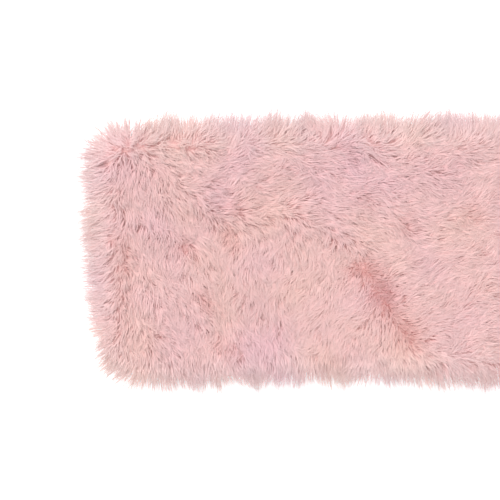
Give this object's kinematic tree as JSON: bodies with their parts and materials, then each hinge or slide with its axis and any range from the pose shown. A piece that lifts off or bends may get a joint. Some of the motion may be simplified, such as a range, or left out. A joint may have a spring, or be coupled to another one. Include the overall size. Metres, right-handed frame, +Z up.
{
  "type": "spa headband",
  "caption": "Wide spa headband of soft plush on both faces over thin wadding, with hook-and-loop tape at its ends, stored flat and able to roll up into a ring.",
  "frame": {"origin": "centre of the underside of the band lying flat", "axes": "+X along the band towards the loop-tape end, +Y across the band, +Z up through its thickness"},
  "size_m": [0.62, 0.108, 0.0164],
  "materials": {
    "face_plush": "dusty pink faux fur, long soft pile",
    "back_plush": "dusty pink faux fur, long soft pile",
    "wadding": "white needled polyester wadding",
    "hook_tape": "woven nylon tape with moulded hooks",
    "loop_tape": "woven nylon tape with a brushed loop mat",
    "sewing_thread": "matt polyester sewing thread",
    "label_satin": "white satin ribbon, blank"
  },
  "bodies": {
    "middle": {"face_plush_middle": "face_plush", "wadding_middle": "wadding", "back_plush_middle": "back_plush"},
    "left_1": {"face_plush_left_1": "face_plush", "wadding_left_1": "wadding", "back_plush_left_1": "back_plush"},
    "left_2": {"face_plush_left_2": "face_plush", "wadding_left_2": "wadding", "back_plush_left_2": "back_plush"},
    "left_3": {"face_plush_left_3": "face_plush", "wadding_left_3": "wadding", "back_plush_left_3": "back_plush"},
    "left_4": {"face_plush_left_4": "face_plush", "wadding_left_4": "wadding", "back_plush_left_4": "back_plush"},
    "left_5": {"face_plush_left_5": "face_plush", "wadding_left_5": "wadding", "back_plush_left_5": "back_plush"},
    "left_6": {"face_plush_left_6": "face_plush", "wadding_left_6": "wadding", "back_plush_left_6": "back_plush"},
    "left_7": {"face_plush_left_7": "face_plush", "wadding_left_7": "wadding", "back_plush_left_7": "back_plush", "hook_tape": "hook_tape", "hook_tape_stitching": "sewing_thread"},
    "right_1": {"face_plush_right_1": "face_plush", "wadding_right_1": "wadding", "back_plush_right_1": "back_plush"},
    "right_2": {"face_plush_right_2": "face_plush", "wadding_right_2": "wadding", "back_plush_right_2": "back_plush"},
    "right_3": {"face_plush_right_3": "face_plush", "wadding_right_3": "wadding", "back_plush_right_3": "back_plush"},
    "right_4": {"face_plush_right_4": "face_plush", "wadding_right_4": "wadding", "back_plush_right_4": "back_plush"},
    "right_5": {"face_plush_right_5": "face_plush", "wadding_right_5": "wadding", "back_plush_right_5": "back_plush"},
    "right_6": {"face_plush_right_6": "face_plush", "wadding_right_6": "wadding", "back_plush_right_6": "back_plush", "care_label": "label_satin"},
    "right_7": {"face_plush_right_7": "face_plush", "wadding_right_7": "wadding", "back_plush_right_7": "back_plush", "loop_tape": "loop_tape", "loop_tape_stitching": "sewing_thread"}
  },
  "joints": [
    {"name": "bend_left_1", "type": "hinge", "parent": "middle", "child": "left_1", "pos_m": [-0.01877, 0, 0.0164], "axis": [0, 1, 0], "range_deg": [0, 25.5]},
    {"name": "bend_left_2", "type": "hinge", "parent": "left_1", "child": "left_2", "pos_m": [-0.05631, 0, 0.0164], "axis": [0, 1, 0], "range_deg": [0, 25.5]},
    {"name": "bend_left_3", "type": "hinge", "parent": "left_2", "child": "left_3", "pos_m": [-0.09385, 0, 0.0164], "axis": [0, 1, 0], "range_deg": [0, 25.5]},
    {"name": "bend_left_4", "type": "hinge", "parent": "left_3", "child": "left_4", "pos_m": [-0.13139, 0, 0.0164], "axis": [0, 1, 0], "range_deg": [0, 25.5]},
    {"name": "bend_left_5", "type": "hinge", "parent": "left_4", "child": "left_5", "pos_m": [-0.16892, 0, 0.0164], "axis": [0, 1, 0], "range_deg": [0, 25.5]},
    {"name": "bend_left_6", "type": "hinge", "parent": "left_5", "child": "left_6", "pos_m": [-0.20646, 0, 0.0164], "axis": [0, 1, 0], "range_deg": [0, 25.5]},
    {"name": "bend_left_7", "type": "hinge", "parent": "left_6", "child": "left_7", "pos_m": [-0.244, 0, 0.0164], "axis": [0, 1, 0], "range_deg": [0, 35.7]},
    {"name": "bend_right_1", "type": "hinge", "parent": "middle", "child": "right_1", "pos_m": [0.01877, 0, 0.0164], "axis": [0, -1, 0], "range_deg": [0, 23.15]},
    {"name": "bend_right_2", "type": "hinge", "parent": "right_1", "child": "right_2", "pos_m": [0.05631, 0, 0.0164], "axis": [0, -1, 0], "range_deg": [0, 23.15]},
    {"name": "bend_right_3", "type": "hinge", "parent": "right_2", "child": "right_3", "pos_m": [0.09385, 0, 0.0164], "axis": [0, -1, 0], "range_deg": [0, 23.15]},
    {"name": "bend_right_4", "type": "hinge", "parent": "right_3", "child": "right_4", "pos_m": [0.13139, 0, 0.0164], "axis": [0, -1, 0], "range_deg": [0, 23.15]},
    {"name": "bend_right_5", "type": "hinge", "parent": "right_4", "child": "right_5", "pos_m": [0.16892, 0, 0.0164], "axis": [0, -1, 0], "range_deg": [0, 23.15]},
    {"name": "bend_right_6", "type": "hinge", "parent": "right_5", "child": "right_6", "pos_m": [0.20646, 0, 0.0164], "axis": [0, -1, 0], "range_deg": [0, 23.15]},
    {"name": "bend_right_7", "type": "hinge", "parent": "right_6", "child": "right_7", "pos_m": [0.244, 0, 0.0164], "axis": [0, -1, 0], "range_deg": [0, 32.41]}
  ],
  "couplings": [
    {"joint": "bend_left_2", "follows": "bend_left_1", "ratio": 1},
    {"joint": "bend_left_3", "follows": "bend_left_1", "ratio": 1},
    {"joint": "bend_left_4", "follows": "bend_left_1", "ratio": 1},
    {"joint": "bend_left_5", "follows": "bend_left_1", "ratio": 1},
    {"joint": "bend_left_6", "follows": "bend_left_1", "ratio": 1},
    {"joint": "bend_left_7", "follows": "bend_left_1", "ratio": 1.4},
    {"joint": "bend_right_2", "follows": "bend_right_1", "ratio": 1},
    {"joint": "bend_right_3", "follows": "bend_right_1", "ratio": 1},
    {"joint": "bend_right_4", "follows": "bend_right_1", "ratio": 1},
    {"joint": "bend_right_5", "follows": "bend_right_1", "ratio": 1},
    {"joint": "bend_right_6", "follows": "bend_right_1", "ratio": 1},
    {"joint": "bend_right_7", "follows": "bend_right_1", "ratio": 1.4}
  ]
}
